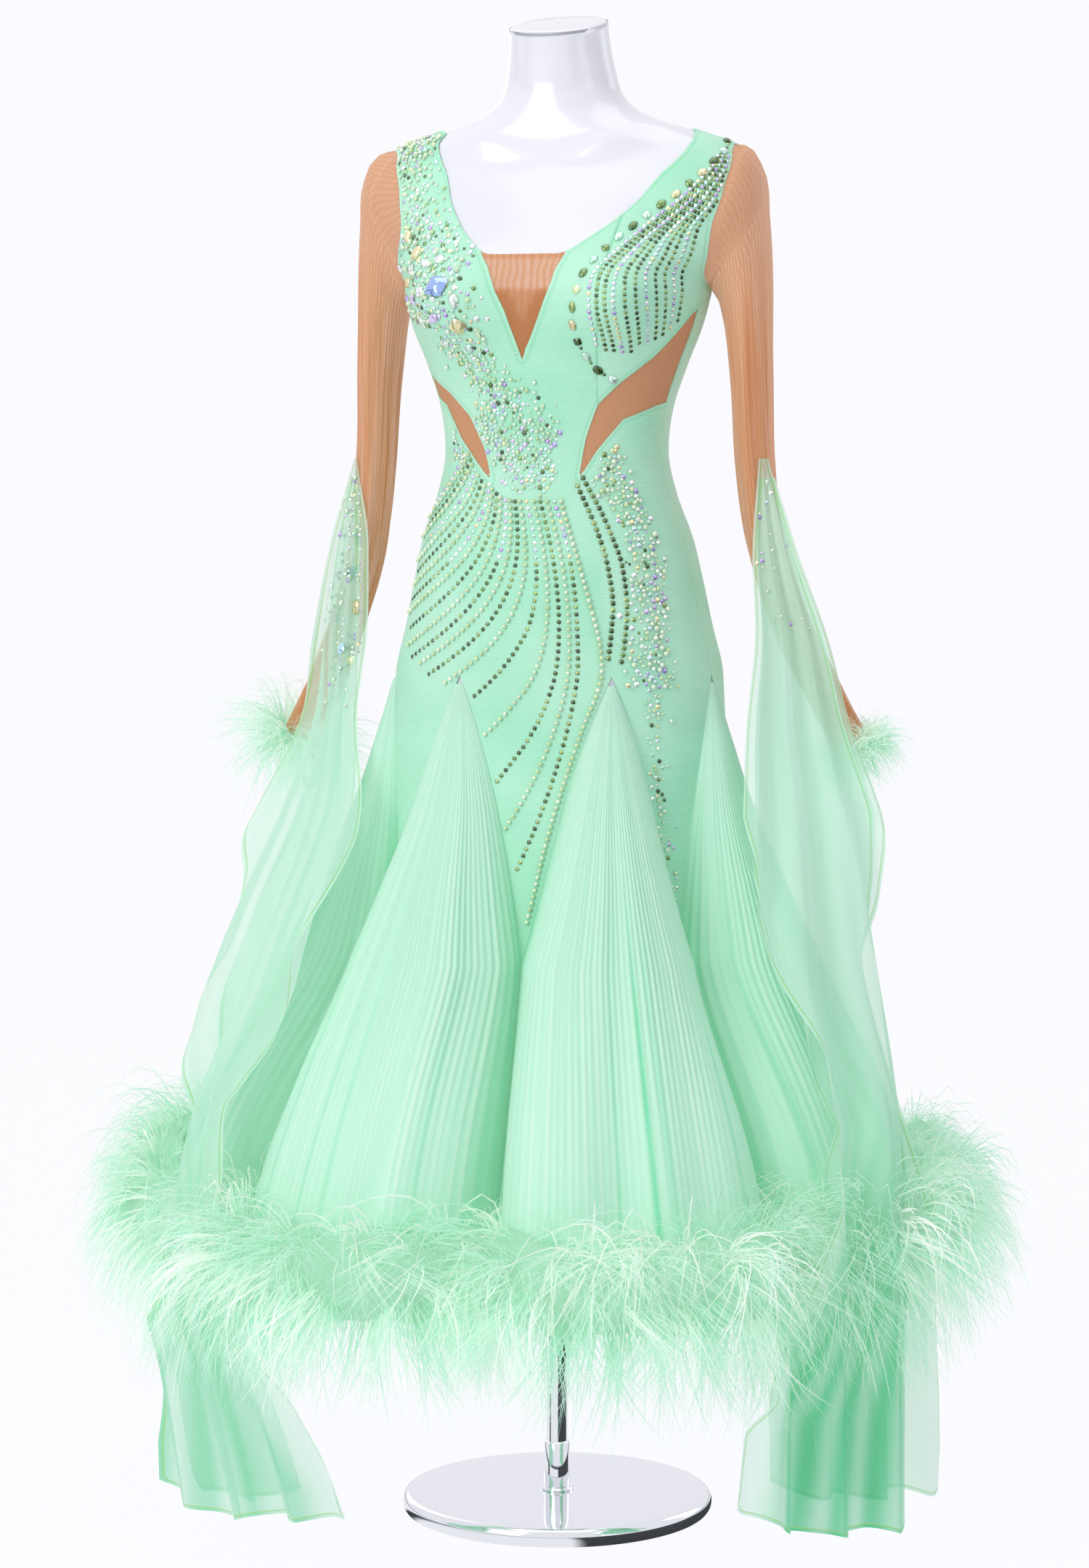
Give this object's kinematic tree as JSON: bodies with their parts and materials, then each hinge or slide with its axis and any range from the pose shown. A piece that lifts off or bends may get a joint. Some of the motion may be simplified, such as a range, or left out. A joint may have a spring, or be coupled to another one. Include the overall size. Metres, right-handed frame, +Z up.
{
  "type": "ballroom dress on dress form",
  "caption": "Fitted ballroom dress with sheer sleeves and floats, pleated godets and a feather hem, on a limbless gloss dress form with a pole and round base.",
  "frame": {"origin": "centre of the round base's underside, on the floor", "axes": "+Z up the stand's pole, -Y towards the dress's front, +X towards the wearer's left"},
  "size_m": [0.9642, 0.9519, 1.5619],
  "materials": {
    "crepe": "matt stretch crepe, mint green",
    "nude_mesh": "sheer stretch mesh, tan",
    "elastic": "narrow elastic ribbon, tan",
    "pleated_organza": "finely pleated organza with a slight sheen, mint green",
    "chiffon": "sheer chiffon with rolled hems, mint green",
    "feathers": "soft ostrich-like feathers, mint green with pale tips",
    "form_gloss": "high gloss, white",
    "chrome": "polished"
  },
  "bodies": {
    "root": {"dress_front_crepe": "crepe", "bust_cup_left": "crepe", "dress_back_left": "crepe", "dress_back_right": "crepe", "neck_insert": "nude_mesh", "waist_insert_left": "nude_mesh", "waist_insert_right": "nude_mesh", "sleeve_left_front": "nude_mesh", "sleeve_left_back": "nude_mesh", "sleeve_right_front": "nude_mesh", "sleeve_right_back": "nude_mesh", "finger_loop_left": "elastic", "finger_loop_right": "elastic", "godet_1": "pleated_organza", "godet_2": "pleated_organza", "godet_3": "pleated_organza", "godet_4": "pleated_organza", "godet_5": "pleated_organza", "godet_6": "pleated_organza", "godet_7": "pleated_organza", "float_left": "chiffon", "float_right": "chiffon", "cuff_feathers_left": "feathers", "cuff_feathers_right": "feathers", "hem_feathers_1": "feathers", "hem_feathers_2": "feathers", "hem_feathers_3": "feathers", "hem_feathers_4": "feathers", "hem_feathers_5": "feathers", "hem_feathers_6": "feathers", "hem_feathers_7": "feathers", "form_torso": "form_gloss", "form_base": "chrome", "form_pole": "chrome"}
  },
  "joints": []
}
